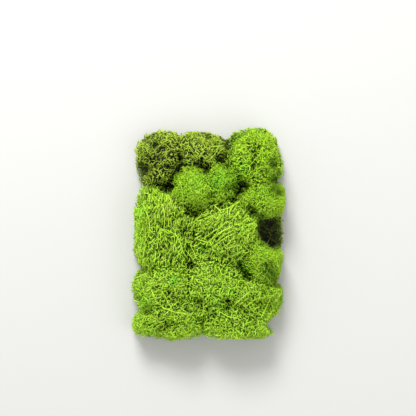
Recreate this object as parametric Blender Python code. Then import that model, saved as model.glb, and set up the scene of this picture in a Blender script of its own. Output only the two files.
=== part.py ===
"""A clump of preserved reindeer moss: fifteen tufts of a branching lichen, matted side by side, lying on its underside.

Metres, +Z up. +X runs across the clump and +Y along it. The origin is on the surface it lies on, under its middle.
Each tuft is one solid: a small core with stems standing out of it, which fork in threes out to their points. Tufts are
shaped by the ones they lean on, with a hair's gap between.
"""

import math
import random
from collections import namedtuple

import bmesh
import bpy
import numpy as np
from mathutils import Matrix, Vector, noise

MM = 0.001

# The moss is 111 mm across and 161 mm long where it shows. A tuft's place here is in millimetres from the middle of that,
# its half sizes reach to its furthest points, and comb is the way its stems lie over.
Tuft = namedtuple("Tuft", "name x y half_x half_y bottom top form comb tint")
TUFTS = (
    Tuft("tuft_upper_left", -37, 60, 21, 23, -2.0, 40, "open", (0.1, 0.3), "olive"),
    Tuft("tuft_upper_middle", -4, 65, 24, 18, 2.0, 43, "open", (0.0, 0.3), "olive"),
    Tuft("tuft_round_head", -10, 38, 17, 20, 5.0, 50, "dense", (0.0, 0.0), "leaf"),
    Tuft("tuft_small_head", 9, 42, 15, 16, 6.0, 47, "dense", (0.0, 0.0), "leaf"),
    Tuft("tuft_upper_right", 34, 59, 24, 26, -2.0, 47, "open", (0.2, 0.2), "leaf"),
    Tuft("tuft_right_shoulder", 41, 28, 19, 18, 3.0, 44, "dense", (0.1, -0.2), "leaf"),
    Tuft("tuft_left_bank", -33, 5, 26, 40, -2.5, 46, "open", (0.1, 0.9), "lime"),
    Tuft("tuft_centre_bank", 15, 3, 32, 34, -3.0, 48, "open", (0.6, 0.7), "lime"),
    Tuft("tuft_right_low", 47, 1, 14, 18, 0.5, 30, "open", (0.2, 0.0), "olive"),
    Tuft("tuft_lower_left", -34, -42, 25, 22, -2.0, 45, "open", (-0.2, 0.6), "lime"),
    Tuft("tuft_lower_middle", 4, -39, 24, 22, 1.0, 46, "open", (0.3, 0.3), "lime"),
    Tuft("tuft_right_head", 43, -20, 16, 19, 4.0, 45, "dense", (0.2, 0.1), "leaf"),
    Tuft("tuft_lower_right", 37, -50, 22, 19, -2.0, 43, "open", (0.5, 0.5), "lime"),
    Tuft("tuft_bottom_left", -30, -67, 30, 17, 1.0, 40, "open", (-0.2, -0.4), "lime"),
    Tuft("tuft_bottom_right", 23, -68, 34, 16, 1.0, 41, "open", (0.2, -0.4), "lime"),
)

# How the stems of a tuft branch: the length of each level and its thickness where it starts, the angle of a fork in
# degrees, how far apart the stems are rooted, and how far the core lies under the furthest points. In millimetres.
Form = namedtuple("Form", "lengths radii arms fork spacing core inset")
FORMS = {
    "open": Form((6.0, 5.8, 5.4, 5.0, 4.4), (1.25, 1.1, 1.0, 0.85, 0.7), (2, 2, 2, 3), 36, 7.4, 0.32, 22.0),
    "dense": Form((4.4, 4.2, 4.0, 3.6), (1.1, 1.0, 0.85, 0.7), (2, 2, 3), 42, 6.2, 0.4, 13.0),
    "under": Form((2.4, 2.8), (1.0, 0.8), (3,), 40, 13.0, 0.0, 0.0),
}
ROOT_DEPTH = 2.6
SHORTENING = (1.0, 0.8, 0.6)
TRIES = 9
CLEARANCE = 0.35
WANTED_CLEARANCE = 3.5
OUTSTEP = 1.08
LEAST_OUTWARDS = 0.2
LEAST_TRUE = 0.8
LEAST_FORWARD = 0.35
MOST_ALIKE = 0.72
SCATTER = 0.2

TINTS = {"olive": (0.24, 0.31, 0.045), "leaf": (0.19, 0.39, 0.03), "lime": (0.27, 0.42, 0.05)}
ROUGHNESS = 0.8

SQUARENESS = 2.5
LUMP_SHARE = 0.10
LUMP_SCALE = 1.7
CENTRE_SHARE = 0.36
HALF_GAP = 0.15
NEIGHBOUR_REACH = 8.0
LEAST_CORE = 4.5
CORE_POINTS = 56
UNDERSIDE_INSET = 1.0
PRESS = 1.3
PRESSED_TOP = 23
PRESSED_FADE = 7
LOWEST_ROOT = 2.0
LOWEST_LOOK = -0.45
BIG_TUFT = 27
MOST_PRESSED = 0.6
SITE_SAMPLES = 1500
SEED = 1207


class Stem:
    """One length of stem, from three corners at its foot along an axis to a ring of three corners, or to a point."""

    def __init__(self, start, axis, length, foot, end_radius, level):
        self.start, self.axis, self.level, self.foot = start, axis, level, foot
        self.end = start + axis * length
        first = foot[0] - start
        first = (first - axis * first.dot(axis)).normalized()
        turns = [Matrix.Rotation(math.radians(angle), 3, axis) @ first for angle in (0, 120, 240)]
        self.ring = [self.end + turn * end_radius for turn in turns]
        self.crotch = self.end + axis * end_radius * 0.45
        self.arms = [None, None, None]
        self.entry = None
        self.pointed = False


def clear_scene():
    for obj in list(bpy.data.objects):
        bpy.data.objects.remove(obj)


def centre_of(tuft):
    return Vector((tuft.x, tuft.y, tuft.bottom + CENTRE_SHARE * (tuft.top - tuft.bottom)))


def outer_reach(tuft, direction):
    """How far the tuft reaches this way from its centre, out to its furthest points: a squared-off, lumpy ellipsoid."""
    rise = tuft.top - centre_of(tuft).z if direction.z > 0 else centre_of(tuft).z - tuft.bottom
    half = (tuft.half_x, tuft.half_y, rise)
    total = sum(abs(d / h) ** SQUARENESS for d, h in zip(direction, half))
    lump = noise.noise(direction * LUMP_SCALE + Vector((tuft.x, tuft.y, 0)) * 0.37)
    return total ** (-1 / SQUARENESS) * (1 + LUMP_SHARE * lump * (direction.z > -0.5))


def neighbour_planes(tuft):
    """The flat boundaries (point, outward normal) that keep this tuft off the ones it leans on."""
    centre, planes = centre_of(tuft), []
    for other in TUFTS:
        if other.name == tuft.name:
            continue
        towards = centre_of(other) - centre
        distance = towards.length
        normal = towards / distance
        mine, theirs = outer_reach(tuft, normal), outer_reach(other, -normal)
        if mine + theirs + NEIGHBOUR_REACH > distance:
            at = distance * mine / (mine + theirs)
            planes.append((centre + normal * (at - HALF_GAP), normal))
    return planes


def core_point(tuft, planes, direction):
    """Where the core's surface lies this way, and how pressed it is against a neighbour or the floor, from 0 to 1."""
    centre, outer = centre_of(tuft), outer_reach(tuft, direction)
    form = FORMS[tuft.form]
    inset = min(form.inset, outer * (1 - form.core)) * (1 + UNDERSIDE_INSET * min(0.0, direction.z))
    limit = 1e6
    for at, normal in planes:
        facing = direction.dot(normal)
        if facing > 1e-6:
            limit = min(limit, (at - centre).dot(normal) / facing)
    bare = max(LEAST_CORE, outer - inset)
    low = (PRESSED_TOP - (centre + direction * limit).z) / PRESSED_FADE
    pressed = min(1.0, max(0.0, PRESS + 2 * (outer - limit) / inset)) * min(1.0, max(0.0, low))
    point = centre + direction * min(limit, bare + pressed * max(0.0, limit - bare))
    if point.z < 0:
        point = centre + direction * (centre.z / -direction.z)
        point.z, pressed = 0.0, 1.0
    return point, pressed


def ball(count):
    """A sphere of evenly spread vertices, in triangles."""
    bm = bmesh.new()
    turn = math.pi * (3 - math.sqrt(5))
    for i in range(count):
        height = 1 - 2 * (i + 0.5) / count
        across = math.sqrt(1 - height * height)
        bm.verts.new((across * math.cos(i * turn), across * math.sin(i * turn), height))
    bmesh.ops.convex_hull(bm, input=bm.verts)
    return bm


def core_mesh(tuft, planes):
    """A ball shaped to the tuft's core."""
    bm = ball(round(CORE_POINTS * math.sqrt(tuft.half_x * tuft.half_y) / 22))
    for vertex in bm.verts:
        vertex.co = core_point(tuft, planes, vertex.co.normalized())[0]
    bmesh.ops.recalc_face_normals(bm, faces=bm.faces)
    bm.normal_update()
    return bm


def roots_on(rng, tuft, planes, core, spacing, lowest, highest, taken):
    """Places on the free faces of the core that look between these heights, no closer to each other than spacing."""
    faces = list(core.faces)
    areas = [face.calc_area() for face in faces]
    centre, chosen = centre_of(tuft), []
    for face in rng.choices(faces, areas, k=SITE_SAMPLES):
        a, b, c = (vertex.co for vertex in face.verts)
        u, v = sorted((rng.random(), rng.random()))
        place = a * u + b * (v - u) + c * (1 - v)
        outwards = (place - centre).normalized()
        if not lowest < face.normal.z <= highest or place.z < LOWEST_ROOT:
            continue
        if core_point(tuft, planes, outwards)[1] > MOST_PRESSED:
            continue
        if all((place - other).length > spacing for other in taken):
            taken.append(place)
            chosen.append((place, (face.normal + outwards).normalized()))
    return chosen


def columns_of(grown):
    """The grown stems' starts, spans and radii as arrays, to measure from them all at once."""
    return [np.array(column) for column in zip(*grown)]


def clearance_of(start, end, radius, columns):
    """The least gap between this length of stem and the ones already grown."""
    if not columns:
        return WANTED_CLEARANCE
    starts, spans, radii = columns
    along = np.array(start) + np.array(end - start) * np.linspace(0.25, 1, 4)[:, None]
    offset = along[:, None] - starts
    share = np.clip((offset * spans).sum(2) / (spans * spans).sum(1), 0, 1)
    gaps = np.linalg.norm(offset - share[..., None] * spans, axis=2) - radii - radius
    return float(gaps.min())


def has_room(tuft, planes, point, radius):
    """True where a stem's end keeps within its own tuft: off the neighbours, the floor and the core."""
    if point.z < radius + 0.6 or any((point - at).dot(normal) > -radius for at, normal in planes):
        return False
    offset = point - centre_of(tuft)
    direction = offset.normalized()
    core = (core_point(tuft, planes, direction)[0] - centre_of(tuft)).length
    return core + radius + 0.6 < offset.length < outer_reach(tuft, direction) * OUTSTEP


def lean_from(point, planes):
    """The way off the nearest neighbours, so that a stem at their edge bends clear of them."""
    away = Vector()
    for at, normal in planes:
        depth = (at - point).dot(normal)
        if depth < NEIGHBOUR_REACH:
            away -= normal * (1 - depth / NEIGHBOUR_REACH)
    return away


def best_stem(rng, tuft, planes, columns, form, level, start, foot, nominal, apart):
    """The stem of several tried from this foot that keeps furthest from the rest. None where there's no room."""
    last = level == len(form.lengths) - 1
    end_radius = 0.25 if last else form.radii[level + 1]
    best, best_score = None, -1e6
    nominal, radial = nominal.normalized(), (start - centre_of(tuft)).normalized()
    for share in SHORTENING:
        for _ in range(TRIES):
            axis = (nominal + Vector([rng.gauss(0, SCATTER) for _ in range(3)])).normalized()
            if axis.dot(nominal) < LEAST_TRUE or axis.dot(radial) < LEAST_OUTWARDS:
                continue
            if any(axis.dot(other) > most for other, most in apart):
                continue
            stem = Stem(start, axis, form.lengths[level] * share * rng.uniform(0.9, 1.1), foot, end_radius, level)
            if not has_room(tuft, planes, stem.end, end_radius):
                continue
            near = clearance_of(start, stem.end, end_radius, columns)
            if near < CLEARANCE:
                continue
            score = min(near, WANTED_CLEARANCE) + 0.3 * (stem.end - start).dot(radial)
            if score > best_score:
                best, best_score = stem, score
        if best:
            best.pointed = last or share == SHORTENING[-1]
            return best
    return None


def keep(grown, stem, form):
    stem.entry = len(grown)
    grown.append((np.array(stem.start), np.array(stem.end - stem.start), form.radii[stem.level]))


def root_stem(rng, tuft, planes, grown, form, place, normal, comb):
    """A tree's first stem, its foot sunk in the core."""
    nominal = (normal + comb * max(0.0, normal.z) + lean_from(place, planes) * 0.3).normalized()
    spin = Matrix.Rotation(rng.uniform(0, 2 * math.pi), 3, nominal) @ nominal.orthogonal().normalized()
    corners = [Matrix.Rotation(math.radians(angle), 3, nominal) @ spin for angle in (0, 120, 240)]
    foot = [place - nominal * ROOT_DEPTH + corner * form.radii[0] for corner in corners]
    return best_stem(rng, tuft, planes, columns_of(grown), form, 0, place, foot, nominal, [])


def fork(rng, tuft, planes, grown, form, stem, comb):
    """Grows up to the level's number of arms from a stem's end, spread round it, and gives those that may fork again."""
    siblings = [(-stem.axis, -LEAST_FORWARD)]
    others = columns_of(grown[: stem.entry] + grown[stem.entry + 1 :])
    angle = math.radians(form.fork)
    arms = []
    for i in rng.sample(range(3), 3):
        if len(arms) == form.arms[stem.level]:
            break
        a, b = stem.ring[i], stem.ring[(i + 1) % 3]
        outwards = ((a + b) / 2 - stem.end).normalized()
        nominal = stem.axis * math.cos(angle) + outwards * math.sin(angle)
        nominal += lean_from(stem.end, planes) * 0.25 + comb * 0.25
        foot = (a, b, stem.crotch)
        arm = best_stem(rng, tuft, planes, others, form, stem.level + 1, stem.end, foot, nominal, siblings)
        if arm:
            stem.arms[i] = arm
            siblings.append((arm.axis, MOST_ALIKE))
            arms.append(arm)
    for arm in arms:
        keep(grown, arm, form)
    stem.pointed = not arms
    return [arm for arm in arms if not arm.pointed]


def grow(rng, tuft, planes, form, roots, grown):
    """Trees on the roots, forked level by level, so that all of a tuft's stems share out its room."""
    comb = Vector((tuft.comb[0], tuft.comb[1], 0)) * 0.5
    trees = []
    for place, normal in roots:
        stem = root_stem(rng, tuft, planes, grown, form, place, normal, comb)
        if stem:
            stem.pointed = False
            trees.append(stem)
            keep(grown, stem, form)
    front = list(trees)
    while front:
        front = [arm for stem in front for arm in fork(rng, tuft, planes, grown, form, stem, comb)]
    return trees


def wall(bm, low, high):
    for i in range(3):
        j = (i + 1) % 3
        bm.faces.new((low[i], low[j], high[j], high[i]))


def add_stem(bm, stem, foot):
    """Adds a stem and all that grows from it, onto the three vertices of its foot."""
    if stem.pointed:
        apex = bm.verts.new(stem.end)
        for i in range(3):
            bm.faces.new((foot[i], foot[(i + 1) % 3], apex))
        return
    ring = [bm.verts.new(corner) for corner in stem.ring]
    wall(bm, foot, ring)
    crotch = bm.verts.new(stem.crotch)
    for i in range(3):
        corners = (ring[i], ring[(i + 1) % 3], crotch)
        if stem.arms[i]:
            add_stem(bm, stem.arms[i], corners)
        else:
            bm.faces.new(corners)


def tree_mesh(stem):
    bm = bmesh.new()
    foot = [bm.verts.new(corner) for corner in stem.foot]
    bm.faces.new(foot[::-1])
    add_stem(bm, stem, foot)
    bmesh.ops.triangulate(bm, faces=bm.faces)
    bmesh.ops.recalc_face_normals(bm, faces=bm.faces)
    return bm


def object_of(name, bm, collection):
    """A Blender object from a mesh in millimetres."""
    bm.transform(Matrix.Scale(MM, 4))
    mesh = bpy.data.meshes.new(name)
    bm.to_mesh(mesh)
    bm.free()
    obj = bpy.data.objects.new(name, mesh)
    collection.objects.link(obj)
    return obj


def join_trees(core, trees):
    """Fuses the trees to their core in one Boolean union on a collection, then removes them."""
    modifier = core.modifiers.new("trees", "BOOLEAN")
    modifier.operation = "UNION"
    modifier.operand_type = "COLLECTION"
    modifier.collection = trees
    modifier.solver = "MANIFOLD"
    bpy.context.view_layer.objects.active = core
    bpy.ops.object.modifier_apply(modifier=modifier.name)
    for obj in list(trees.objects):
        bpy.data.objects.remove(obj)
    bpy.data.collections.remove(trees)


def drop_scraps(mesh):
    """Keeps only the largest body, so that nothing which missed the core is left floating."""
    bm = bmesh.new()
    bm.from_mesh(mesh)
    left, bodies = set(bm.verts), []
    while left:
        front, body = [left.pop()], []
        while front:
            vertex = front.pop()
            body.append(vertex)
            near = {edge.other_vert(vertex) for edge in vertex.link_edges} & left
            left -= near
            front.extend(near)
        bodies.append(body)
    bodies.sort(key=len)
    for body in bodies[:-1]:
        bmesh.ops.delete(bm, geom=body, context="VERTS")
    bm.to_mesh(mesh)
    bm.free()


def moss_material(tint):
    material = bpy.data.materials.new(f"moss_{tint}")
    material.use_nodes = True
    shader = material.node_tree.nodes["Principled BSDF"]
    shader.inputs["Base Color"].default_value = (*TINTS[tint], 1)
    shader.inputs["Roughness"].default_value = ROUGHNESS
    shader.inputs["Metallic"].default_value = 0
    return material


def build_tuft(tuft, materials):
    rng = random.Random(f"{SEED} {tuft.name}")
    form, under, planes, taken, grown = FORMS[tuft.form], FORMS["under"], neighbour_planes(tuft), [], []
    core_bm = core_mesh(tuft, planes)
    spacing = form.spacing * max(1.0, math.sqrt(tuft.half_x * tuft.half_y) / BIG_TUFT)
    roots = roots_on(rng, tuft, planes, core_bm, spacing, LOWEST_LOOK, 1.0, taken)
    low_roots = roots_on(rng, tuft, planes, core_bm, under.spacing, -1.1, LOWEST_LOOK, taken)
    trees = grow(rng, tuft, planes, form, roots, grown)
    trees += grow(rng, tuft, planes, under, low_roots, grown)
    scene = bpy.context.scene.collection
    holder = bpy.data.collections.new(f"{tuft.name}_trees")
    scene.children.link(holder)
    for number, stem in enumerate(trees):
        object_of(f"{tuft.name}_tree_{number}", tree_mesh(stem), holder)
    core = object_of(tuft.name, core_bm, scene)
    join_trees(core, holder)
    drop_scraps(core.data)
    core.data.materials.clear()
    core.data.materials.append(materials[tuft.tint])
    return core


def centre_over_origin(objects):
    """Moves the whole clump sideways, so that its outermost points lie evenly about the origin."""
    corners = np.array([vertex.co for obj in objects for vertex in obj.data.vertices])
    middle = (corners.min(0) + corners.max(0)) / 2
    for obj in objects:
        obj.data.transform(Matrix.Translation((-middle[0], -middle[1], 0)))


def main():
    clear_scene()
    materials = {tint: moss_material(tint) for tint in TINTS}
    centre_over_origin([build_tuft(tuft, materials) for tuft in TUFTS])


main()
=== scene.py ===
import math
from collections import namedtuple

import bmesh
import bpy
import numpy as np
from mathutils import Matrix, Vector
from mathutils.bvhtree import BVHTree
from mathutils.kdtree import KDTree


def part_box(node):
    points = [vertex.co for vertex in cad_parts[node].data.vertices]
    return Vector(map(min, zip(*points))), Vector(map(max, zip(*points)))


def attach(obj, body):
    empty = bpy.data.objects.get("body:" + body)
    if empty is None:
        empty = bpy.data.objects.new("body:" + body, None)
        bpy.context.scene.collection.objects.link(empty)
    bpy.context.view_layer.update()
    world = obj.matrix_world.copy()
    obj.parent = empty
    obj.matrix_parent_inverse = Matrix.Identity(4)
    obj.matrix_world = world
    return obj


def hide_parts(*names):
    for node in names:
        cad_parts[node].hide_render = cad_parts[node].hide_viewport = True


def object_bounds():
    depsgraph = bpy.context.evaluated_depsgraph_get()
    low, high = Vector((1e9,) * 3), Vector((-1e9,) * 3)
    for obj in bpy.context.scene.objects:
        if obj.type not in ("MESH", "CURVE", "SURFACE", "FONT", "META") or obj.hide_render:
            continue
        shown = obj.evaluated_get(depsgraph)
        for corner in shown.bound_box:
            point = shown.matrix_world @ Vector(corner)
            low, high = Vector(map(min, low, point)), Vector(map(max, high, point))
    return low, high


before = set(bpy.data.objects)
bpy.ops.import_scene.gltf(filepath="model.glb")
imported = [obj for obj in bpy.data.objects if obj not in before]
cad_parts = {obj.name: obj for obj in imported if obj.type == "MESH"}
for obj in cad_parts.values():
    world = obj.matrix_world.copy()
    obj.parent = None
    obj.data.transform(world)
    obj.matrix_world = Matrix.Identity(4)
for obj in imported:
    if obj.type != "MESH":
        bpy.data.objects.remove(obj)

CAD_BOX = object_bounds()

# Dense heads: the round head, small head, right shoulder and right head.
# They are cushions of dyed lichen, whose stems fork so close together that little more than their tips
# shows. Like every tuft here, each grew from one heart, and is only pressed against its neighbours.
MM = 0.001
SEED = 1207
WELD = 0.001 * MM
NODE_NAMES = sorted(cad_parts)

# The room of the clump is divided into small cells, each given to the tuft whose hull it lies deepest in.
# Moss fills narrow gaps between the hulls, and wide ones between matted tufts and near the floor.
CELL = 1.5 * MM
MARGIN = 9
SPARE_CELLS = 5
BORDER_WAVE = 2.2 * MM
NARROW_GAP = 2
WIDE_GAP = 7
FILLED_TO = 15 * MM
MATTED = (
    "tuft_left_bank", "tuft_centre_bank", "tuft_lower_left", "tuft_lower_middle", "tuft_lower_right",
    "tuft_bottom_left", "tuft_bottom_right",
)

# The surface lies a little inside the hulls, with hollows and pits at random, shallower on a firm head.
GROUND = 1.5 * MM
HOLLOW = 4 * MM
HOLLOW_CELLS = 3
MORE_HOLLOW = 0.3
PIT = 3.5 * MM
PIT_CELLS = 1
DEEPEST = 1.5
LOWEST_HOLLOW = 10 * MM
SHADE_CELLS = 3
FIRM = {"tuft_round_head": 0.3, "tuft_small_head": 0.3, "tuft_right_shoulder": 0.5, "tuft_right_head": 0.5}

# The dark gaps and the parts that stand proud are set one by one: x, y, reach, and depth or height, in
# millimetres.
RAGGED = 0.6
Spot = namedtuple("Spot", "x y reach amount")
# Besides shaping the surface, the recesses also get painted shade and the proud parts a painted highlight,
# where the colour is worked out.
RECESSES = (
    Spot(-51, 53, 4.5, 13), Spot(-42, 72, 3, 6), Spot(-40, 61, 4, 5), Spot(-24, 51, 4, 9),
    Spot(-42, 40, 5, 5), Spot(-34, 38, 5, 2), Spot(-25, 42, 4, 2), Spot(-22, 61, 4, 6),
    Spot(-33, 52, 4, 4), Spot(0, 77, 3, 5), Spot(11, 57, 4, 6), Spot(18, 66, 3.5, 6),
    Spot(15, 72, 4, 5), Spot(21, 77, 5, 8), Spot(-8, 57, 3.5, 2), Spot(14, 37, 3.5, 6),
    Spot(23, 37, 5.5, 11), Spot(29, 38, 4, 7), Spot(17, 47, 3, 5), Spot(1, 31, 3, 5),
    Spot(17, 28, 4.5, 4), Spot(11, 22, 2.6, 5), Spot(-17, 18, 6, 4), Spot(-25, 14, 4, 3),
    Spot(36, 17, 4.5, 10), Spot(32, 22, 3.5, 6), Spot(43, 13, 4, 10), Spot(46, 6, 5, 20),
    Spot(52, 7, 4, 16), Spot(49, -1, 7, 32), Spot(53, -6, 5, 20), Spot(50, 57, 5, 8),
    Spot(54, 45, 5, 9), Spot(54, 34, 5, 9), Spot(-20, 1, 4, 5), Spot(-15, -12, 3, 7),
    Spot(-14, -24, 3, 14), Spot(-16, -18, 2.2, 11), Spot(31, -32, 4, 8), Spot(27, -28, 3, 4),
    Spot(49, -28, 6, 12), Spot(51, -37, 5, 10), Spot(15, -52, 3.5, 7), Spot(-8, -52, 3.5, 4),
    Spot(46, -44, 3, 5), Spot(37, -54, 7, 3), Spot(48, -57, 5, 5), Spot(-48, -61, 4, 5),
    Spot(-34, -71, 4, 6), Spot(-5, -69, 4, 5), Spot(-54, 24, 3, 6), Spot(-52, 10, 4, 3),
    Spot(-40, -14, 5, 3), Spot(-42, 4, 16, 2.2), Spot(46, -48, 11, 2), Spot(-44, 62, 12, 1.5),
    Spot(-48, 62, 3, 6), Spot(-36, 68, 3, 5), Spot(-28, 46, 3, 5), Spot(-14, 62, 2.5, 4),
    Spot(16, 54, 3, 8),
)
PROUD = (
    Spot(-12, 35, 9, 4), Spot(8, 42, 7, 4), Spot(25, 60, 8, 4), Spot(38, 35, 8, 4),
    Spot(-30, 20, 9, 3), Spot(12, 8, 10, 4), Spot(22, -8, 8, 3), Spot(40, -17, 9, 8),
    Spot(-1, -34, 8, 4), Spot(-38, -35, 9, 3), Spot(22, -42, 8, 3), Spot(34, -40, 8, 3),
    Spot(-36, -4, 8, 3), Spot(-16, -46, 7, 3), Spot(-30, 66, 7, 3), Spot(-4, 68, 8, 3),
)


def hull_of(node):
    """A point on each face of the tightest hull round a tuft's solid, and the faces' outward normals."""
    shell = bmesh.new()
    shell.from_mesh(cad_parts[node].data)
    bmesh.ops.remove_doubles(shell, verts=shell.verts, dist=WELD)
    hull = bmesh.ops.convex_hull(shell, input=shell.verts)["geom"]
    faces = [item for item in hull if isinstance(item, bmesh.types.BMFace)]
    points = np.array([face.verts[0].co for face in faces])
    normals = np.array([face.normal for face in faces])
    middle = np.array([vertex.co for vertex in shell.verts]).mean(0)
    normals *= np.sign(((points - middle) * normals).sum(1))[:, None]
    shell.free()
    return points, normals


def spread(values):
    """Each cell's value raised to the highest of the cells next to it."""
    raised = values.copy()
    for axis in range(values.ndim):
        ahead = [slice(None)] * values.ndim
        behind = [slice(None)] * values.ndim
        ahead[axis], behind[axis] = slice(1, None), slice(None, -1)
        raised[tuple(ahead)] = np.maximum(raised[tuple(ahead)], values[tuple(behind)])
        raised[tuple(behind)] = np.maximum(raised[tuple(behind)], values[tuple(ahead)])
    return raised


def closed(values, cells):
    """A mask, or heights, with the gaps filled that are up to twice this many cells wide."""
    values = values.astype(float)
    for _ in range(cells):
        values = spread(values)
    for _ in range(cells):
        values = -spread(-values)
    return values


def depth_under(taken):
    """How deep each cell lies under the surface of the taken ones."""
    depth, air = np.zeros(taken.shape), ~taken
    while not air.all():
        depth += ~air * CELL
        air = spread(air)
    return depth


def blurred(values, cells):
    """The values averaged over the cells round each one, this many each way, three times over."""
    soft = values.astype(float)
    width = 2 * cells + 1
    for axis in [*range(values.ndim)] * 3:
        pads = [(0, 0)] * values.ndim
        pads[axis] = (cells + 1, cells)
        total = np.cumsum(np.pad(soft, pads, mode="edge"), axis)
        ahead, behind = [slice(None)] * values.ndim, [slice(None)] * values.ndim
        ahead[axis], behind[axis] = slice(width, None), slice(None, -width)
        soft = (total[tuple(ahead)] - total[tuple(behind)]) / width
    return soft


def waves(size, cells, rng):
    """Random waves about this many cells long, mostly between -1 and 1."""
    rough = blurred(rng.normal(size=size), cells)
    return rough / (2 * rough.std())


def spots_at(spots, x, y):
    """The spots' amounts at these places, each fading out over its reach."""
    total = np.zeros(np.broadcast(x, y).shape)
    for spot in spots:
        away = np.hypot(x - spot.x * MM, y - spot.y * MM) / (spot.reach * MM)
        total += spot.amount * np.exp(-away ** 2)
    return total


class Room:
    """The clump's room in cells: whose each is, how deep it lies, and how much moss there is near it."""

    def __init__(self):
        low, high = (np.array(corner) for corner in CAD_BOX)
        self.low = low - MARGIN * CELL
        self.size = np.ceil((high - low) / CELL).astype(int) + 2 * MARGIN
        cells = np.stack(np.meshgrid(*[np.arange(n) for n in self.size], indexing="ij"), -1)
        self.middles = self.low + (cells + 0.5) * CELL
        self.owner = np.zeros(self.size, int)
        rng = np.random.default_rng(SEED)
        inside, matted = self.shared_out(rng)
        self.taken = self.hollowed(inside, matted, rng)
        self.depth = depth_under(self.taken)
        self.shade = blurred(self.taken, SHADE_CELLS)

    def shared_out(self, rng):
        """Gives the cells their owners. Returns which lie in any hull, and which in a matted tuft's."""
        claimed = np.full(self.size, -np.inf)
        inside = np.zeros(self.size, bool)
        matted = np.zeros(self.size, bool)
        for number, name in enumerate(NODE_NAMES):
            first, last = (np.ravel(self.cells_of(np.array([corner]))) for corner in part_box(name))
            first, last = np.maximum(first - SPARE_CELLS, 0), last + SPARE_CELLS + 1
            span = tuple(slice(*ends) for ends in zip(first, last))
            points, normals = hull_of(name)
            under = ((points * normals).sum(1) - self.middles[span] @ normals.T).min(-1)
            inside[span] |= under > 0
            matted[span] |= (under > 0) & (name in MATTED)
            claim = under + BORDER_WAVE * waves(under.shape, PIT_CELLS, rng)
            nearer = claim > claimed[span]
            claimed[span][nearer] = claim[nearer]
            self.owner[span][nearer] = number
        return inside, matted

    def hollowed(self, inside, matted, rng):
        """The cells that hold moss: the hulls with their gaps filled, less the hollows."""
        x, y, z = np.moveaxis(self.middles, -1, 0)
        outline = closed(inside.any(2), WIDE_GAP)[..., None] > 0
        matted_to = closed(np.where(matted, z, 0).max(2), WIDE_GAP)[..., None]
        under_floor = z < 0
        filled = (closed(inside, NARROW_GAP) > 0) | (z < matted_to) | under_floor
        filled |= outline & (z < FILLED_TO)
        firm = np.array([FIRM.get(name, 1.0) for name in NODE_NAMES])
        drop = HOLLOW * np.clip(waves(self.size, HOLLOW_CELLS, rng) + MORE_HOLLOW, 0, DEEPEST)
        drop += PIT * np.clip(waves(self.size, PIT_CELLS, rng), 0, DEEPEST)
        drop = (drop + GROUND) * firm[self.owner]
        drop = np.maximum(drop - spots_at(PROUD, x, y) * MM, 0)
        drop += spots_at(RECESSES, x, y) * MM * (1 + RAGGED * waves(self.size, PIT_CELLS, rng))
        return (depth_under(filled) > drop) | under_floor | outline & (z < LOWEST_HOLLOW)

    def cells_of(self, points):
        """The cells that these points lie in."""
        cells = ((points - self.low) / CELL).astype(int)
        return tuple(np.clip(cells, 0, self.size - 1).T)

    def between(self, values, points):
        """Values of the cells, read smoothly at these points."""
        place = np.clip((points - self.low) / CELL - 0.5, 0, self.size - 1.001)
        base = place.astype(int)
        share = place - base
        read = np.zeros(len(points))
        for corner in np.ndindex(2, 2, 2):
            weight = np.where(corner, share, 1 - share).prod(1)
            read += weight * values[tuple((base + corner).T)]
        return read

    def top_at(self, x, y):
        """The height of the surface over a place."""
        column = self.cells_of(np.array([[x, y, 0]]))[:2]
        return self.low[2] + (np.flatnonzero(self.taken[column][0])[-1] + 1) * CELL


room = Room()

# A tuft's main stems are those of its solid, drawn in to their real thickness and bent in waves. The core
# that they meet in is cut out, because the heart takes its place.
THINNED = 0.45 * MM
THICKEST_STEM = 4 * MM
JUST_INSIDE = 0.05 * MM
BEND = 1.6 * MM
BEND_LENGTH = 5 * MM
bent_stems = bpy.data.textures.new("bent_stems", "CLOUDS")
bent_stems.cloud_type = "COLOR"
bent_stems.noise_scale = BEND_LENGTH


def placed(name, mesh):
    """Adds an object with this mesh, and selects it alone."""
    piece = bpy.data.objects.new(name, mesh)
    bpy.context.scene.collection.objects.link(piece)
    bpy.ops.object.select_all(action="DESELECT")
    bpy.context.view_layer.objects.active = piece
    piece.select_set(True)
    return piece


def main_stems(node):
    """The piece that a tuft is built up on: its main stems, as far as its core."""
    piece = placed(node.replace("tuft", "moss"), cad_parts[node].data.copy())
    piece.data.materials.clear()
    bpy.ops.object.mode_set(mode="EDIT")
    bpy.ops.mesh.select_mode(type="VERT")
    bpy.ops.mesh.select_all(action="SELECT")
    bpy.ops.mesh.customdata_custom_splitnormals_clear()
    bpy.ops.mesh.remove_doubles(threshold=WELD)
    bpy.ops.mesh.subdivide(number_cuts=1)
    bpy.ops.transform.shrink_fatten(value=-THINNED)
    bpy.ops.mesh.select_all(action="DESELECT")
    bpy.ops.object.mode_set(mode="OBJECT")
    bend = piece.modifiers.new("bend", "DISPLACE")
    bend.texture = bent_stems
    bend.direction = "RGB_TO_XYZ"
    bend.strength = BEND
    bpy.ops.object.modifier_apply(modifier=bend.name)
    bpy.ops.object.shade_smooth()
    solid = BVHTree.FromPolygons(
        [vertex.co for vertex in piece.data.vertices],
        [tuple(face.vertices) for face in piece.data.polygons])
    for vertex in piece.data.vertices:
        _, _, _, through = solid.ray_cast(vertex.co - vertex.normal * JUST_INSIDE, -vertex.normal)
        vertex.select = through is not None and through > THICKEST_STEM
        vertex.co.z = max(vertex.co.z, 0)
    bpy.ops.object.mode_set(mode="EDIT")
    bpy.ops.mesh.delete(type="VERT")
    bpy.ops.mesh.select_all(action="SELECT")
    bpy.ops.mesh.fill_holes(sides=0)
    bpy.ops.mesh.delete_loose()
    bpy.ops.object.mode_set(mode="OBJECT")
    return piece


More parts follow.
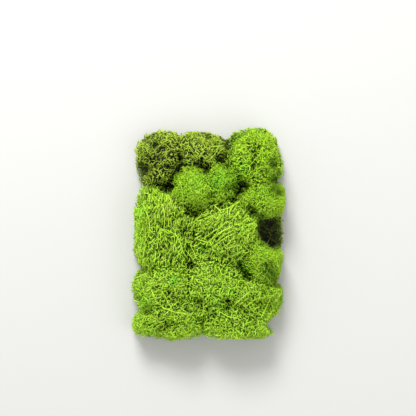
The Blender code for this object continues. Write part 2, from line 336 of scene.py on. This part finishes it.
# How a kind of moss grows: the spacings, from coarse to fine, of the places that its stems reach out to, the
# depth down to which it is full and that of the whole layer, the length of a stem's step and its radius, the
# depth of the heart and its share of the light, and the way that the stems are combed and how far stretched.
Look = namedtuple("Look", "spacings full layer step thick heart heart_light comb stretch")

# Stems thin out to the bottom of the layer, and there are fewer of them on the tuft's underside.
FEWER_INSIDE = 0.75
UNDERNEATH = 3.5 * MM
FEWER_UNDERNEATH = 0.3
FLOOR_GAP = 0.4 * MM

# A place that is too far off is left, and one is reached when a stem comes within a share of the spacing.
# Each step keeps some of the heading of the one before it, and is stuck where it would repeat the last one
# from there.
FARTHEST = 25 * MM
CLOSE_ENOUGH = 0.65
MOST_TURNS = 30
STIFFNESS = 0.4
JITTER = 0.16
SHORTEST_STEP = 0.7
LONGEST_STEP = 1.1
STUCK = 0.6
NO_LENGTH = 1e-9


def unit(vectors):
    """The vectors brought to a length of 1, apart from those that have none."""
    return vectors / np.maximum(np.linalg.norm(vectors, axis=-1, keepdims=True), NO_LENGTH)


def points_of(piece):
    """The places of a piece's vertices, a row for each."""
    points = np.empty(len(piece.data.vertices) * 3)
    piece.data.vertices.foreach_get("co", points)
    return points.reshape(-1, 3)


def combed(look):
    """The matrix that draws room together along the way of the comb. Stems grown in it come out long."""
    along = unit(np.array([*look.comb, 0.0]))
    return np.eye(3) - (1 - 1 / look.stretch) * np.outer(along, along)


def places_in(node, look, spacing, rng):
    """Places evenly spread through the outer layer of a tuft's room, fewer of them deeper in."""
    low, high = (np.array(corner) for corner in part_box(node))
    middle, half = (low + high) / 2, np.linalg.norm(high - low) / 2
    count = int(2 * half / spacing) + 1
    grid = np.stack(np.meshgrid(*[np.arange(count)] * 3, indexing="ij"), -1).reshape(-1, 3)
    turn = np.linalg.qr(rng.normal(size=(3, 3)))[0]
    places = ((grid + rng.uniform(-0.5, 0.5, grid.shape) - count / 2) * spacing) @ turn
    places = places @ np.linalg.inv(combed(look)) + middle
    cells = room.cells_of(places)
    own = room.owner[cells] == NODE_NAMES.index(node)
    places = places[own & (room.depth[cells] > 0) & (places[:, 2] > FLOOR_GAP)]
    depth = room.between(room.depth, places)
    chance = 1 - FEWER_INSIDE * np.clip((depth - look.full) / (look.layer - look.full), 0, 1)
    chance *= depth < look.layer
    chance = np.maximum(chance, FEWER_UNDERNEATH * (places[:, 2] < UNDERNEATH))
    return places[rng.random(len(places)) < chance]


def nearest_of(points, places):
    """The point that is nearest to each place, and how far off it is."""
    tree = KDTree(len(points))
    for index, point in enumerate(points):
        tree.insert(point, index)
    tree.balance()
    found = [tree.find(place) for place in places]
    return np.array([hit[1] for hit in found], int), np.array([hit[2] for hit in found])


def grown_from(points, parents, places, look, spacing, rng):
    """Grows stems on from the points, step by step, each place drawing the end that is nearest to it.
    Gives all the points, and each one's parent."""
    last_child = np.full((len(points), 3), np.inf)
    nearest, distance = nearest_of(points, places)
    near_enough = spacing * CLOSE_ENOUGH
    waiting = np.flatnonzero((distance < FARTHEST) & (distance > near_enough))
    for _ in range(MOST_TURNS):
        if not len(waiting):
            break
        waiting = waiting[np.argsort(distance[waiting])]
        ends, closest, which = np.unique(nearest[waiting], return_index=True, return_inverse=True)
        pull = np.zeros((len(ends), 3))
        np.add.at(pull, which, unit(places[waiting] - points[nearest[waiting]]))
        before = unit(points[ends] - points[parents[ends]]) * (parents[ends] >= 0)[:, None]
        heading = unit(unit(pull) + STIFFNESS * before + rng.normal(0, JITTER, pull.shape))
        reach = look.step * rng.uniform(SHORTEST_STEP, LONGEST_STEP, (len(ends), 1))
        new = points[ends] + heading * reach
        stuck = np.linalg.norm(new - last_child[ends], axis=1) < look.step * STUCK
        new[stuck] = (points[ends] + unit(places[waiting[closest]] - points[ends]) * reach)[stuck]
        last_child[ends] = new
        first = len(points)
        points = np.concatenate([points, new])
        parents = np.concatenate([parents, ends])
        last_child = np.concatenate([last_child, np.full((len(ends), 3), np.inf)])
        found, gap = nearest_of(new, places[waiting])
        nearer = gap < distance[waiting]
        nearest[waiting[nearer]] = found[nearer] + first
        distance[waiting[nearer]] = gap[nearer]
        waiting = waiting[distance[waiting] > near_enough]
    return points, parents


# Long stems lie over some tufts. Each follows a run of places, given in millimetres.
RUN_STEP = 1.4 * MM
RUN_DEPTH = 1 * MM
RUN_EASED = 3


def laid_along(points, parents, runs):
    """Adds the long stems of these runs, each growing from the main stem that is nearest to its start."""
    width = 2 * RUN_EASED + 1
    for run in runs:
        way = [Vector((x * MM, y * MM)) for x, y in run]
        stops = []
        for before, after in zip(way, way[1:]):
            steps = max(1, round((after - before).length / RUN_STEP))
            stops += [before.lerp(after, step / steps) for step in range(steps)]
        stops = np.array([*stops, way[-1]])
        heights = [room.top_at(*stop) - RUN_DEPTH for stop in stops]
        heights = np.convolve(np.pad(heights, RUN_EASED, mode="edge"), np.ones(width), "valid") / width
        stops = np.column_stack([blurred(stops[:, 0], 1), blurred(stops[:, 1], 1), heights])
        nearest = nearest_of(points, stops[:1])[0][0]
        links = np.concatenate([[nearest], len(points) + np.arange(len(stops) - 1)])
        points, parents = np.concatenate([points, stops]), np.concatenate([parents, links])
    return points, parents


def stems_in(node, look, runs, roots, rng):
    """The points of all of a tuft's stems, each one's parent, and how many come before the finest stems."""
    squeeze = combed(look)
    points, parents = laid_along(roots, np.full(len(roots), -1), runs)
    laid = len(points)
    points = points @ squeeze
    for spacing in look.spacings:
        places = places_in(node, look, spacing, rng)
        points, parents = grown_from(points, parents, places @ squeeze, look, spacing, rng)
    points = points @ np.linalg.inv(squeeze)
    points[len(roots):, 2] = np.clip(points[len(roots):, 2], FLOOR_GAP, CAD_BOX[1][2])
    return points, parents, laid


# The fine stems are three-sided tubes, because there are so many, and thin out over their last millimetres.
RING = np.radians([0, 120, 240])
FULL_AT = 6 * MM
YOUNG_GIRTH = 0.62
TIP = 0.14 * MM
SUNK_IN = 0.6
ASKEW = (0.31, 0.52, 0.79)


def heights_over(points, parents):
    """How long the longest stem from each point on is, and the child that it goes on through."""
    height = np.zeros(len(points))
    onward = np.full(len(points), -1)
    for index in range(len(points) - 1, -1, -1):
        parent = parents[index]
        if parent < 0:
            continue
        length = height[index] + np.linalg.norm(points[index] - points[parent])
        if onward[parent] < 0 or length > height[parent]:
            height[parent], onward[parent] = length, index
    return height, onward


def girth_at(height, look):
    """A stem's radius at a point with this much of it still to come."""
    return look.thick * (YOUNG_GIRTH + (1 - YOUNG_GIRTH) * np.minimum(height / FULL_AT, 1))


def rings_round(middles, radii, side, up):
    """The corners of a ring round each of these points of stems."""
    corners = [middles + radii[:, None] * (math.cos(turn) * side + math.sin(turn) * up) for turn in RING]
    return np.stack(corners, 1).reshape(-1, 3)


def tubes_along(points, parents, height, onward, look):
    """Tubes, closed at both ends, along the stems. Gives corners, faces, and each corner's own point."""
    count = len(points)
    grown = np.flatnonzero(parents >= 0)
    heading = np.zeros((count, 3))
    heading[grown] = unit(points[grown] - points[parents[grown]])
    side = unit(np.cross(heading, ASKEW))
    for index in grown:
        parent = parents[index]
        if parents[parent] >= 0:
            side[index] = unit(side[parent] - heading[index] * side[parent].dot(heading[index]))
    up = np.cross(heading, side)
    radius = girth_at(height, look)
    radius[(parents >= 0) & (onward < 0)] = TIP
    going_on = (onward[parents[grown]] == grown) & (parents[parents[grown]] >= 0)
    started = grown[~going_on]
    first_radius = girth_at(height[started] + look.step, look)
    feet = points[parents[started]] - heading[started] * first_radius[:, None] * SUNK_IN
    corners = np.concatenate([
        rings_round(points[grown], radius[grown], side[grown], up[grown]),
        rings_round(feet, first_radius, side[started], up[started]),
    ])
    ring_of = np.full(count, -1)
    ring_of[grown] = np.arange(len(grown))
    foot_of = ring_of[parents[grown]].copy()
    foot_of[~going_on] = len(grown) + np.arange(len(started))
    top_of = ring_of[grown]
    quads = [
        np.stack([foot_of * 3 + a, foot_of * 3 + b, top_of * 3 + b, top_of * 3 + a], 1)
        for a, b in ((0, 1), (1, 2), (2, 0))
    ]
    tips = ring_of[grown[onward[grown] < 0]]
    caps = np.stack([tips * 3, tips * 3 + 1, tips * 3 + 2], 1)
    soles = len(grown) * 3 + np.arange(len(started))[:, None] * 3 + np.array([2, 1, 0])
    origin = np.repeat(np.concatenate([grown, parents[started]]), 3)
    return corners, np.concatenate(quads), np.concatenate([caps, soles]), origin


def mesh_from(name, corners, quads, triangles):
    """A smooth mesh of these corners and faces."""
    mesh = bpy.data.meshes.new(name)
    mesh.vertices.add(len(corners))
    mesh.vertices.foreach_set("co", corners.ravel())
    mesh.loops.add(quads.size + triangles.size)
    mesh.loops.foreach_set("vertex_index", np.concatenate([quads.ravel(), triangles.ravel()]))
    mesh.polygons.add(len(quads) + len(triangles))
    starts = np.concatenate([np.arange(len(quads)) * 4, quads.size + np.arange(len(triangles)) * 3])
    mesh.polygons.foreach_set("loop_start", starts)
    mesh.update(calc_edges=True)
    mesh.shade_smooth()
    return mesh


# Hardly any light gets into a tuft's tangled heart, so it is coloured with painted shade, a share of the
# light there. It is a lump made of every second cell each way, with its corners rounded off, and nearer to
# the surface by the floor.
HEART_CELLS = 2
HEART_GAP = 1.5 * MM
WIDE_FOOT = 20 * MM
LEAST_COVER = 0.3
ROUNDED_TIMES = 3
ROUNDED_BY = 0.6


def heart_of(node, look):
    """The lump in the middle of a tuft, under the layer of fine stems."""
    height = room.low[2] + np.arange(room.size[2]) * CELL
    cover = look.heart * np.clip(height / WIDE_FOOT, LEAST_COVER, 1)
    filled = (room.depth > cover) & (room.owner == NODE_NAMES.index(node)) & (height > HEART_GAP)
    filled = filled[::HEART_CELLS, ::HEART_CELLS, ::HEART_CELLS]
    corners, faces = {}, []
    for axis in range(3):
        other = [a for a in range(3) if a != axis]
        for cell in np.argwhere(filled != np.roll(filled, -1, axis)):
            square = []
            for step in ((0, 0), (1, 0), (1, 1), (0, 1)):
                corner = cell.copy()
                corner[axis] += 1
                corner[other] += step
                square.append(corners.setdefault(tuple(corner), len(corners)))
            turned = filled[tuple(cell)] != (axis == 1)
            faces.append(square if turned else square[::-1])
    mesh = bpy.data.meshes.new(f"{node}_heart")
    mesh.from_pydata((np.array(list(corners)) * HEART_CELLS * CELL + room.low).tolist(), [], faces)
    heart = placed(f"{node}_heart", mesh)
    rounding = heart.modifiers.new("rounding", "SMOOTH")
    rounding.iterations = ROUNDED_TIMES
    rounding.factor = ROUNDED_BY
    bpy.ops.object.modifier_apply(modifier=rounding.name)
    bpy.ops.object.shade_smooth()
    return heart


# Colour follows the light that gets in among the stems, and a tint that turns greener in places. Both are
# kept as each point's place on a palette, with the light across it and the tint up it.
SURFACE_LIGHT = 1.1
LEAST_LIGHT = 0.05
DARK_DEPTH = 20 * MM
AIR_FOR_FULL_LIGHT = 0.33
DARK_RECESS = 13
DARKEST = 1.6
BRIGHT_PROUD = 40
PLAIN_TINT = 0.4
GREENER = (
    Spot(-10, 38, 12, 0.12), Spot(9, 42, 8, 0.45), Spot(26, 51, 7, 0.3), Spot(41, 33, 8, 0.2),
    Spot(-4, -12, 3, 0.6), Spot(-27, -36, 3.5, 0.5), Spot(-35, -28, 5, 0.2), Spot(10, -55, 8, 0.25),
    Spot(30, -28, 6, 0.3), Spot(-54, 20, 6, 0.2), Spot(-52, -54, 6, 0.25), Spot(-20, -12, 6, 0.15),
    Spot(40, -20, 10, 0.12), Spot(-38, 62, 16, -0.1), Spot(-32, 18, 8, -0.25), Spot(2, 16, 8, -0.15),
    Spot(-25, 40, 5, 0.1),
)
AGE_SPAN = 12 * MM
OLD_LIGHT = 0.8
UNEVEN_LIGHT = 0.07
UNEVEN_TINT = 0.1
PALE_LIGHT = 0.12
PALE_TINT = 0.2
MAIN_STEM_LIGHT = 0.6
PALETTE_SCATTER = 0.012
PALETTE_EDGE = 0.004


def light_at(points):
    """The painted light of these points among the stems: how much light reaches them, from 0 to about 1."""
    x, y = points[:, 0], points[:, 1]
    depth = room.between(room.depth, points)
    air = 1 - room.between(room.shade, points)
    # Painted shade darkens the recesses, and a painted highlight lightens the proud places.
    recess_shade = np.minimum(spots_at(RECESSES, x, y) / DARK_RECESS, DARKEST)
    light = np.clip(SURFACE_LIGHT - depth / DARK_DEPTH, LEAST_LIGHT, 1)
    light *= np.clip(air / AIR_FOR_FULL_LIGHT, 0, 1)
    return light * np.exp(-recess_shade) * (1 + spots_at(PROUD, x, y) / BRIGHT_PROUD)


def tint_at(points):
    """The tint of these points, from yellowish at 0 to green at 1."""
    return PLAIN_TINT + spots_at(GREENER, points[:, 0], points[:, 1])


def wrapped(mesh, light, tint, rng):
    """Gives a mesh its palette map, with the points scattered so that each face has some width there."""
    points = np.stack([light, tint], 1) + rng.uniform(-PALETTE_SCATTER, PALETTE_SCATTER, (len(light), 2))
    corners = np.empty(len(mesh.loops), int)
    mesh.loops.foreach_get("vertex_index", corners)
    uv = mesh.uv_layers.new(name="OFBake")
    uv.data.foreach_set("uv", np.clip(points, PALETTE_EDGE, 1 - PALETTE_EDGE)[corners].ravel())


def strands_of(parents, first, rng):
    """A random number for each stem that leaves a main one, the same for all that grows from it."""
    strand = np.zeros(len(parents))
    for index in range(first, len(parents)):
        parent = parents[index]
        strand[index] = rng.normal() if parent < first else strand[parent]
    return strand


def moss_of(node, look, material, runs=()):
    """A whole tuft as one piece in its node's place: main stems, the fine ones grown on them, and heart."""
    rng = np.random.default_rng([SEED, NODE_NAMES.index(node)])
    piece = main_stems(node)
    roots = points_of(piece)
    points, parents, laid = stems_in(node, look, runs, roots, rng)
    height, onward = heights_over(points, parents)
    corners, quads, triangles, origin = tubes_along(points, parents, height, onward, look)
    strand = strands_of(parents, len(roots), rng)[origin]
    fine = mesh_from(f"{node}_fine", corners, quads, triangles)
    young = 1 - np.minimum(height[origin] / AGE_SPAN, 1)
    pale = (origin >= len(roots)) & (origin < laid)
    light = light_at(corners) * (OLD_LIGHT + (1 - OLD_LIGHT) * young + UNEVEN_LIGHT * strand)
    tint = tint_at(corners) + UNEVEN_TINT * strand
    wrapped(fine, light + PALE_LIGHT * pale, tint - PALE_TINT * pale, rng)
    wrapped(piece.data, light_at(roots) * MAIN_STEM_LIGHT, tint_at(roots), rng)
    heart = heart_of(node, look)
    inside = points_of(heart)
    wrapped(heart.data, light_at(inside) * look.heart_light, tint_at(inside), rng)
    placed(f"{node}_fine", fine)
    heart.select_set(True)
    piece.select_set(True)
    bpy.context.view_layer.objects.active = piece
    bpy.ops.object.join()
    piece.data.materials.clear()
    piece.data.materials.append(material)
    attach(piece, "root")
    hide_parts(node)


class Shader:
    """A socket among a material's nodes. Sums on it add Math nodes, and node() adds any other."""

    def __init__(self, tree, socket=None):
        self.tree = tree
        self.socket = socket

    def node(self, kind, settings, inputs, output=0):
        """Adds a node: its settings first, then its sockets' values or links. Gives one of its outputs."""
        added = self.tree.nodes.new(kind)
        for name, value in settings.items():
            if name == "stops":
                self.set_stops(added.color_ramp, value)
            else:
                setattr(added, name, value)
        for name, value in inputs.items():
            if isinstance(value, Shader):
                self.tree.links.new(value.socket, added.inputs[name])
            else:
                added.inputs[name].default_value = value
        return Shader(self.tree, added.outputs[output])

    @staticmethod
    def set_stops(ramp, stops):
        """Gives a ramp these stops, each a position and a colour."""
        while len(ramp.elements) < len(stops):
            ramp.elements.new(0.5)
        for element, (position, colour) in zip(ramp.elements, stops):
            element.position = position
            element.color = (*colour, 1)

    def math(self, operation, *values):
        return self.node("ShaderNodeMath", {"operation": operation}, dict(enumerate(values)))

    def __add__(self, other):
        return self.math("ADD", self, other)

    def __sub__(self, other):
        return self.math("SUBTRACT", self, other)

    def __mul__(self, other):
        return self.math("MULTIPLY", self, other)

    def __rsub__(self, other):
        return self.math("SUBTRACT", other, self)

    __radd__ = __add__
    __rmul__ = __mul__


# The colour varies in patches, and in a fine grain that also makes the finish rough.
PATCH = 9 * MM
PATCHINESS = 0.24
GRAIN = 0.8 * MM
GRAIN_IN_TINT = 0.4
GRAIN_IN_ROUGHNESS = 0.25
SMOOTHEST = 0.65
SHINE = 0.22
RELIEF = 0.35
RELIEF_DEPTH = 0.2 * MM
WARMTH = ((0.0, (1.12, 0.98, 1.2)), (0.4, (1.0, 1.0, 1.0)), (1.0, (0.66, 1.0, 0.8)))


def moss_material(name, painted_shade, stem, lit, tip):
    """Dyed lichen, its colour painting the light among the stems: painted shade dark between them, paler to
    their tips, mottled, matt and finely rough.
    """
    material = bpy.data.materials.new(name)
    material.use_nodes = True
    tree = material.node_tree
    start = Shader(tree)
    palette = start.node("ShaderNodeUVMap", {"uv_map": "OFBake"}, {})
    light = start.node("ShaderNodeSeparateXYZ", {}, {0: palette}, "X")
    tint = start.node("ShaderNodeSeparateXYZ", {}, {0: palette}, "Y")
    place = start.node("ShaderNodeTexCoord", {}, {}, "Object")
    patches = start.node("ShaderNodeTexNoise", {}, {"Vector": place, "Scale": 1 / PATCH, "Detail": 2.0})
    grain = start.node("ShaderNodeTexNoise", {}, {"Vector": place, "Scale": 1 / GRAIN, "Detail": 3.0})
    # Light on the palette runs from painted shade deep among the stems up to lit tips.
    painted_light_stops = ((0.0, painted_shade), (0.35, stem), (0.7, lit), (1.0, tip))
    colour = start.node(
        "ShaderNodeValToRGB", {"stops": painted_light_stops}, {"Fac": light + PATCHINESS * (patches - 0.5)})
    warmth = start.node(
        "ShaderNodeValToRGB", {"stops": WARMTH}, {"Fac": tint + GRAIN_IN_TINT * (grain - 0.5)})
    mixed = start.node(
        "ShaderNodeMix", {"data_type": "RGBA", "blend_type": "MULTIPLY"},
        {"Factor": 1.0, 6: colour, 7: warmth}, output=2)
    relief = start.node(
        "ShaderNodeBump", {}, {"Strength": RELIEF, "Distance": RELIEF_DEPTH, "Height": grain})
    finish = tree.nodes["Principled BSDF"]
    tree.links.new(mixed.socket, finish.inputs["Base Color"])
    tree.links.new((SMOOTHEST + GRAIN_IN_ROUGHNESS * grain).socket, finish.inputs["Roughness"])
    tree.links.new(relief.socket, finish.inputs["Normal"])
    finish.inputs["Specular IOR Level"].default_value = SHINE
    return material


DENSE = Look(
    spacings=(3.2 * MM, 1.8 * MM, 1.06 * MM), full=4.5 * MM, layer=6 * MM, step=0.95 * MM, thick=0.32 * MM,
    heart=6 * MM, heart_light=0.4, comb=(1.0, 0.0), stretch=1.0)
leaf_moss = moss_material(
    "leaf_moss", painted_shade=(0.008, 0.014, 0.004), stem=(0.15, 0.29, 0.012), lit=(0.32, 0.56, 0.018),
    tip=(0.41, 0.66, 0.028))
for head in ("tuft_round_head", "tuft_small_head", "tuft_right_shoulder", "tuft_right_head"):
    moss_of(head, DENSE, leaf_moss)

# Upper tufts: the upper left, upper middle and upper right.
# They are open bushes with long bare stems and dark gaps between them. The left two are olive, yellower
# than the rest, and darker, which is partly painted shade. Each is one lichen, pressed against its
# neighbours.
OPEN = Look(
    spacings=(4.5 * MM, 2.5 * MM, 1.33 * MM), full=6 * MM, layer=8 * MM, step=1.25 * MM, thick=0.43 * MM,
    heart=8 * MM, heart_light=0.28, comb=(1.0, 0.0), stretch=1.0)
AIRY = OPEN._replace(spacings=(4.5 * MM, 2.5 * MM, 1.5 * MM), full=3 * MM, layer=7 * MM, heart_light=0.2)
SPARSE = AIRY._replace(spacings=(4.8 * MM, 2.8 * MM, 1.7 * MM))
olive_moss = moss_material(
    "olive_moss", painted_shade=(0.008, 0.011, 0.003), stem=(0.09, 0.13, 0.010), lit=(0.25, 0.37, 0.02),
    tip=(0.43, 0.60, 0.05))
moss_of("tuft_upper_left", SPARSE, olive_moss)
moss_of("tuft_upper_middle", AIRY, olive_moss)
moss_of("tuft_upper_right", OPEN, leaf_moss)

# Banks: the left bank, centre bank and right low tuft.
# They are open bushes too, pressed so flat while damp that the stems of the first two lie combed over the
# surface: along the clump in the left one, and slanting across it in the centre one.
lime_moss = moss_material(
    "lime_moss", painted_shade=(0.010, 0.014, 0.004), stem=(0.29, 0.49, 0.022), lit=(0.38, 0.65, 0.029),
    tip=(0.44, 0.70, 0.05))
UPRIGHT = OPEN._replace(full=5 * MM, comb=(0.1, 0.9), stretch=1.6)
UPRIGHT_RUNS = (
    ((-52, 25), (-47, 14), (-46, 6), (-47, -2)),
    ((-48, 14), (-50, 6), (-49, -4)),
    ((-36, 25), (-34, 14), (-35, 4)),
    ((-26, 1), (-22, -6), (-20, -14)),
    ((-17, -14), (-13, -18), (-10, -22)),
    ((-20, 30), (-21, 38), (-23, 44)),
)
moss_of("tuft_left_bank", UPRIGHT, lime_moss, UPRIGHT_RUNS)

SLANTING = OPEN._replace(comb=(0.6, 0.7), stretch=1.5)
SLANTING_RUNS = (
    ((-15, -7), (-11, -14), (-9, -20)),
    ((-1, -7), (6, 0), (13, 4), (20, 7)),
    ((-4, -3), (3, 2), (11, 7)),
    ((3, -11), (10, -4), (19, 1)),
    ((8, 19), (16, 21), (24, 25), (27, 30)),
    ((6, -6), (12, 0), (20, 4)),
)
moss_of("tuft_centre_bank", SLANTING, lime_moss, SLANTING_RUNS)

LOW_RUNS = (
    ((44, 7), (49, 3), (56, 4)),
    ((46, -9), (50, -3), (51, 5), (54, 9)),
    ((57, -9), (53, -5), (47, -1)),
)
# The right low tuft fills a deep gap, and its darker olive colours are partly painted shade.
moss_of("tuft_right_low", AIRY, olive_moss, LOW_RUNS)

# Lower tufts: the lower left, lower middle, lower right, bottom left and bottom right.
# They are open bushes of forking stems, matted together, with some long pale ones lying over them.
LOWER_LEFT_RUNS = (
    ((-37, -43), (-33, -51), (-30, -56), (-27, -63), (-25, -72)),
    ((-46, -41), (-43, -48), (-40, -55)),
)
LOWER_RIGHT_RUNS = (
    ((42, -38), (47, -44), (49, -51), (46, -58), (42, -65)),
    ((53, -43), (48, -35), (42, -31)),
    ((29, -57), (36, -51), (45, -49)),
)
BOTTOM_LEFT_RUNS = (
    ((-27, -53), (-31, -60), (-36, -64)),
    ((-22, -58), (-16, -62), (-10, -67)),
    ((-34, -58), (-27, -61), (-19, -62), (-12, -64)),
    ((-52, -66), (-46, -64), (-39, -68), (-34, -74)),
)
BOTTOM_RIGHT_RUNS = (
    ((19, -57), (25, -51), (33, -44)),
    ((8, -60), (16, -65), (25, -66)),
)
moss_of("tuft_lower_left", OPEN, lime_moss, LOWER_LEFT_RUNS)
moss_of("tuft_lower_middle", OPEN, lime_moss)
moss_of("tuft_lower_right", OPEN, lime_moss, LOWER_RIGHT_RUNS)
moss_of("tuft_bottom_left", OPEN, lime_moss, BOTTOM_LEFT_RUNS)
moss_of("tuft_bottom_right", OPEN, lime_moss, BOTTOM_RIGHT_RUNS)

# Floor, light and camera.
# The clump lies on a plain pale floor under soft studio light, and the camera looks straight down on it.
FLOOR_SIZE = 6
PAPER = (0.52, 0.52, 0.5, 1)
PAPER_ROUGHNESS = 0.9
bpy.ops.object.select_all(action="DESELECT")
bpy.ops.mesh.primitive_plane_add(size=FLOOR_SIZE, location=(0, 0, 0))
floor = bpy.context.active_object
floor.name = "floor"
paper = bpy.data.materials.new("paper")
paper.use_nodes = True
paper_finish = paper.node_tree.nodes["Principled BSDF"]
paper_finish.inputs["Base Color"].default_value = PAPER
paper_finish.inputs["Roughness"].default_value = PAPER_ROUGHNESS
floor.data.materials.append(paper)

STUDIO_LIGHT = 0.75
studio = bpy.data.worlds.new("studio")
bpy.context.scene.world = studio
studio.use_nodes = True
studio.node_tree.nodes["Background"].inputs["Color"].default_value = (1, 1, 1, 1)
studio.node_tree.nodes["Background"].inputs["Strength"].default_value = STUDIO_LIGHT
bpy.context.scene.view_settings.view_transform = "Standard"

Lamp = namedtuple("Lamp", "name place size power")
for lamp in (
    Lamp("key", place=(-0.25, 0.95, 0.95), size=0.5, power=24),
    Lamp("fill", place=(0.6, -0.4, 1.1), size=0.9, power=4),
):
    light = bpy.data.lights.new(lamp.name, "AREA")
    light.size = lamp.size
    light.energy = lamp.power
    holder = bpy.data.objects.new(lamp.name, light)
    holder.location = lamp.place
    holder.rotation_euler = (-Vector(lamp.place)).to_track_quat("-Z", "Y").to_euler()
    bpy.context.scene.collection.objects.link(holder)

VIEW_HEIGHT = 1.24
SEEN_HEIGHT = 0.04
VIEW_MIDDLE = (-0.00019, 0.0212)
PICTURE_WIDTH = 0.3278
SENSOR = 36
camera_data = bpy.data.cameras.new("camera")
camera_data.sensor_width = SENSOR
camera_data.lens = SENSOR * (VIEW_HEIGHT - SEEN_HEIGHT) / PICTURE_WIDTH
camera = bpy.data.objects.new("camera", camera_data)
camera.location = (*VIEW_MIDDLE, VIEW_HEIGHT)
bpy.context.scene.collection.objects.link(camera)
bpy.context.scene.camera = camera
